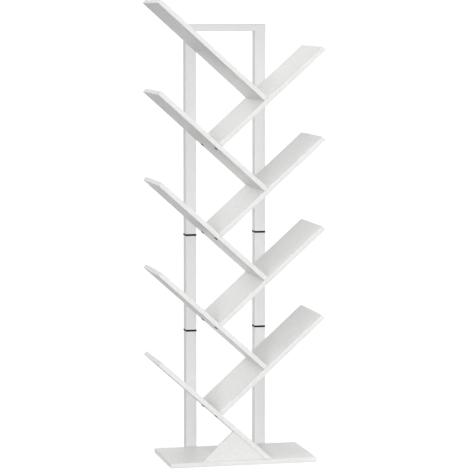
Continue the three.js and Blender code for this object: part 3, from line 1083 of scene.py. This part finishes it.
@dataclass
class Hardware(Assembly):
    """Bolts, screws and dowels, each built again with its socket, head, thread or flutes."""

    starts: ClassVar[tuple[str, ...]] = ("bolt_", "post_bolt_", "triangle_screw_", "base_dowel_")
    tilt: float = 42.0
    steel: Finish = Finish(
        name="blackened_steel",
        colour=(0.02, 0.02, 0.021),
        roughness=0.38,
        metallic=0.6,
        fine_scale=1800.0,
        relief=0.15,
        tone_change=0.2,
        # Painted shade in the sockets and under the heads.
        crevice_shade=0.6,
        wear_width=0.25 * MM,
        wear_colour=(0.09, 0.09, 0.088),
        wear_amount=0.6,
    )
    beech: Finish = Finish(
        name="beech",
        colour=(0.55, 0.38, 0.22),
        roughness=0.7,
        fine_scale=1300.0,
        coarse_scale=180.0,
        relief=0.4,
        tone_change=0.3,
        stretch=(1.0, 1.0, 0.06),
    )

    def ways(self) -> dict[str, tuple[type[Fastener], Vector]]:
        """Says which kind each fastener is and which way it goes.

        Returns:
            The kind, and the direction from head to tip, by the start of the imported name.
        """
        run, rise = math.sin(math.radians(self.tilt)), math.cos(math.radians(self.tilt))
        return {
            "bolt_right_shelf": (FlatBolt, Vector((run, 0.0, rise))),
            "bolt_left_shelf": (FlatBolt, Vector((-run, 0.0, rise))),
            "post_bolt": (ButtonBolt, Vector((0.0, -1.0, 0.0))),
            "triangle_screw_base": (WoodScrew, Vector((0.0, 0.0, 1.0))),
            "triangle_screw_shelf": (WoodScrew, Vector((-run, 0.0, -rise))),
            "base_dowel": (Dowel, Vector((0.0, 0.0, 1.0))),
        }

    def build(self) -> None:
        """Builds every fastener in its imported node's place."""
        for start, (kind, way) in self.ways().items():
            for node in self.named(start):
                name = f"{node.name}_turned"
                fastener = kind(Fastener.length_of(node, way))
                finish, slot = (self.beech, Slot.DOWEL) if kind is Dowel else (self.steel, Slot.STEEL)
                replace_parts(self.add(name, fastener.mesh(name, node, way), finish, slot), node.name)


# Studio


class Lit(Enum):
    """Which pieces a lamp lights."""

    ALL = "all"
    BOARDS = "boards"
    FRAME = "frame"


@dataclass(frozen=True)
class Lamp:
    """A distant soft lamp: the side it shines from in degrees, its strength, and what it lights."""

    name: str
    azimuth: float
    elevation: float
    strength: float
    spread: float
    lit: Lit = Lit.BOARDS
    shadow: bool = True
    glossy: bool = True
    distance: float = 6.0

    def build(self, groups: dict[Lit, bpy.types.Collection]) -> None:
        """Adds the lamp.

        Args:
            groups: The pieces that each kind of lamp lights.
        """
        data = bpy.data.lights.new(self.name, "SUN")
        data.energy = self.strength * math.pi
        data.angle = math.radians(self.spread)
        data.use_shadow = self.shadow
        made = put(self.name, data)
        turn, rise = math.radians(self.azimuth), math.radians(self.elevation)
        level = math.cos(rise)
        side = Vector((math.sin(turn) * level, -math.cos(turn) * level, math.sin(rise)))
        made.location = side * self.distance
        made.visible_glossy = self.glossy
        made.rotation_euler = side.to_track_quat("Z", "Y").to_euler()
        if self.lit is not Lit.ALL:
            made.light_linking.receiver_collection = groups[self.lit]


@dataclass
class Studio:
    """Camera, lamps, world, floor and backdrop. Angles are in degrees and the focal length in pixels."""

    eye: Triple = (-1.6938, -7.35015, 1.4821)
    yaw: float = 13.048
    pitch: float = 5.390
    focal: float = 2344.1
    image_width: float = 470.0
    sensor_width: float = 36.0
    shift_y: float = -0.03
    view_limit: float = 100.0
    ambient: float = 0.3
    unseen_tone: float = 0.25
    floor_half: float = 90.0
    floor_drop: float = 0.5 * MM
    floor_tone: float = 0.4
    floor_glow: float = 0.8
    backdrop_radius: float = 70.0
    backdrop_foot: float = -1.0
    backdrop_top: float = 40.0
    backdrop_steps: int = 96
    backdrop_tone: float = 0.2
    backdrop_glow: float = 0.92
    lamps: tuple[Lamp, ...] = (
        Lamp("key_high", -50.0, 20.0, 0.092, 6.0),
        Lamp("key_side", -75.0, 39.0, 0.118, 6.0),
        Lamp("board_wash", -80.0, 40.0, 0.044, 10.0, shadow=False),
        Lamp("soft_top", 0.0, 50.0, 0.126, 90.0, glossy=False),
        Lamp("soft_front", -10.0, 0.0, 1.10, 60.0, glossy=False),
        Lamp("soft_back", 180.0, 45.0, 0.047, 90.0, glossy=False),
        Lamp("rear_fill", 165.0, 3.0, 0.55, 30.0, Lit.ALL, shadow=False, glossy=False),
        Lamp("right_fill", 95.0, 5.0, 0.25, 30.0, Lit.ALL, shadow=False, glossy=False),
        Lamp("frame_front", 0.0, 0.0, 0.527, 10.0, Lit.FRAME, shadow=False),
        Lamp("frame_side", -90.0, 0.0, 0.345, 10.0, Lit.FRAME, shadow=False),
    )

    def camera(self) -> None:
        """Places the camera at the photographed angle."""
        data = bpy.data.cameras.new("camera")
        data.sensor_width = self.sensor_width
        data.lens = self.sensor_width * self.focal / self.image_width
        data.shift_y = self.shift_y
        data.clip_end = self.view_limit
        made = put("camera", data)
        made.location = self.eye
        made.rotation_euler = (math.radians(90.0 - self.pitch), 0.0, math.radians(-self.yaw))
        bpy.context.scene.camera = made

    @staticmethod
    def by_view(tree: NodeTree, unseen: Socket, shown: Socket) -> Socket:
        """Shows one shader to the camera, reflections and glass, and lets another light the object.

        Args:
            tree: The tree of a floor's or world's shader.
            unseen: The shader that lights the object.
            shown: The shader that shows.

        Returns:
            The mixed shader.
        """
        path = tree.node("ShaderNodeLightPath")
        direct = tree.math("MAXIMUM", path.outputs["Is Camera Ray"], path.outputs["Is Glossy Ray"])
        share = tree.math("MAXIMUM", direct, path.outputs["Is Transmission Ray"])
        return tree.node("ShaderNodeMixShader", {0: share, 1: unseen, 2: shown}).outputs["Shader"]

    def world(self) -> None:
        """Lights the object evenly, and shows plain white to the camera and to reflections."""
        world = bpy.data.worlds.new("studio")
        world.use_nodes = True
        bpy.context.scene.world = world
        tree = NodeTree(world.node_tree)
        shaders = []
        for strength in (self.ambient, 1.0):
            feeds = {"Color": grey(1.0), "Strength": strength}
            shaders.append(tree.node("ShaderNodeBackground", feeds).outputs["Background"])
        tree.node("ShaderNodeOutputWorld", {"Surface": self.by_view(tree, *shaders)})

    def stand(self, mesh: Mesh, tone: float, glow_strength: float) -> Piece:
        """Sets up a floor or backdrop in a pale material that shows white and keeps the object's shadow.

        Args:
            mesh: Its mesh, whose name the piece and its material take.
            tone: How much light it sends back where it is seen.
            glow_strength: Its own glow there.

        Returns:
            The new object.
        """
        material = bpy.data.materials.new(mesh.name)
        material.use_nodes = True
        tree = NodeTree(material.node_tree)
        unseen = tree.node("ShaderNodeBsdfDiffuse", {"Color": grey(self.unseen_tone)}).outputs["BSDF"]
        shadowed = tree.node("ShaderNodeBsdfDiffuse", {"Color": grey(tone)}).outputs["BSDF"]
        glow = tree.node("ShaderNodeEmission", {"Strength": glow_strength}).outputs["Emission"]
        shown = tree.node("ShaderNodeAddShader", {0: shadowed, 1: glow}).outputs["Shader"]
        tree.node("ShaderNodeOutputMaterial", {"Surface": self.by_view(tree, unseen, shown)})
        material.cycles.emission_sampling = "NONE"
        mesh.materials.append(material)
        piece = put(mesh.name, mesh)
        piece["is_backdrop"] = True
        return piece

    def floor(self) -> Piece:
        """Lays the floor, a hair under the base plate.

        Returns:
            The floor.
        """
        half = self.floor_half
        corners = [(-half, -half), (half, -half), (half, half), (-half, half)]
        mesh = bpy.data.meshes.new("floor")
        mesh.from_pydata([(x, y, -self.floor_drop) for x, y in corners], [], [(0, 1, 2, 3)])
        return self.stand(mesh, self.floor_tone, self.floor_glow)

    def backdrop(self) -> Piece:
        """Stands a far round backdrop about the object, which stops no light.

        Returns:
            The backdrop.
        """
        count, radius = self.backdrop_steps, self.backdrop_radius
        points = []
        for height in (self.backdrop_foot, self.backdrop_top):
            for step in range(count):
                turn = math.tau * step / count
                points.append((radius * math.cos(turn), radius * math.sin(turn), height))
        faces = []
        for step in range(count):
            following = (step + 1) % count
            faces.append((step, following, following + count, step + count))
        mesh = bpy.data.meshes.new("backdrop")
        mesh.from_pydata(points, [], faces)
        wall = self.stand(mesh, self.backdrop_tone, self.backdrop_glow)
        wall.visible_shadow = False
        wall.visible_diffuse = False
        return wall

    @staticmethod
    def gather(name: str, pieces: Iterable[Piece]) -> bpy.types.Collection:
        """Lists pieces for a lamp to light.

        Args:
            name: The list's name.
            pieces: The pieces in it.

        Returns:
            The collection that holds them.
        """
        group = bpy.data.collections.new(name)
        for piece in pieces:
            group.objects.link(piece)
        return group

    def build(self, boards: Iterable[Piece], frame_pieces: Iterable[Piece]) -> None:
        """Sets up the whole studio.

        Args:
            boards: The boards and their fasteners.
            frame_pieces: The posts, their joints and the rail.
        """
        bpy.context.scene.view_settings.view_transform = "Standard"
        self.camera()
        self.world()
        groups = {
            Lit.BOARDS: self.gather("lit_boards", [*boards, self.floor(), self.backdrop()]),
            Lit.FRAME: self.gather("lit_frame", frame_pieces),
        }
        for lamp in self.lamps:
            lamp.build(groups)
            LOG.info("%s: lamp", lamp.name)


def main() -> None:
    """Builds the bookshelf's pieces in order, then the studio."""
    logging.basicConfig(level=logging.INFO, format="%(name)s: %(message)s")
    packed = [corner.copy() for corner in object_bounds()]
    boards = Boards(frame["nodes"])
    rear_frame = RearFrame(frame["nodes"])
    hardware = Hardware(frame["nodes"])
    for assembly in (boards, rear_frame, hardware):
        assembly.build()
    Studio().build(boards.pieces() + hardware.pieces(), rear_frame.pieces())


if __name__ == "__main__":
    main()
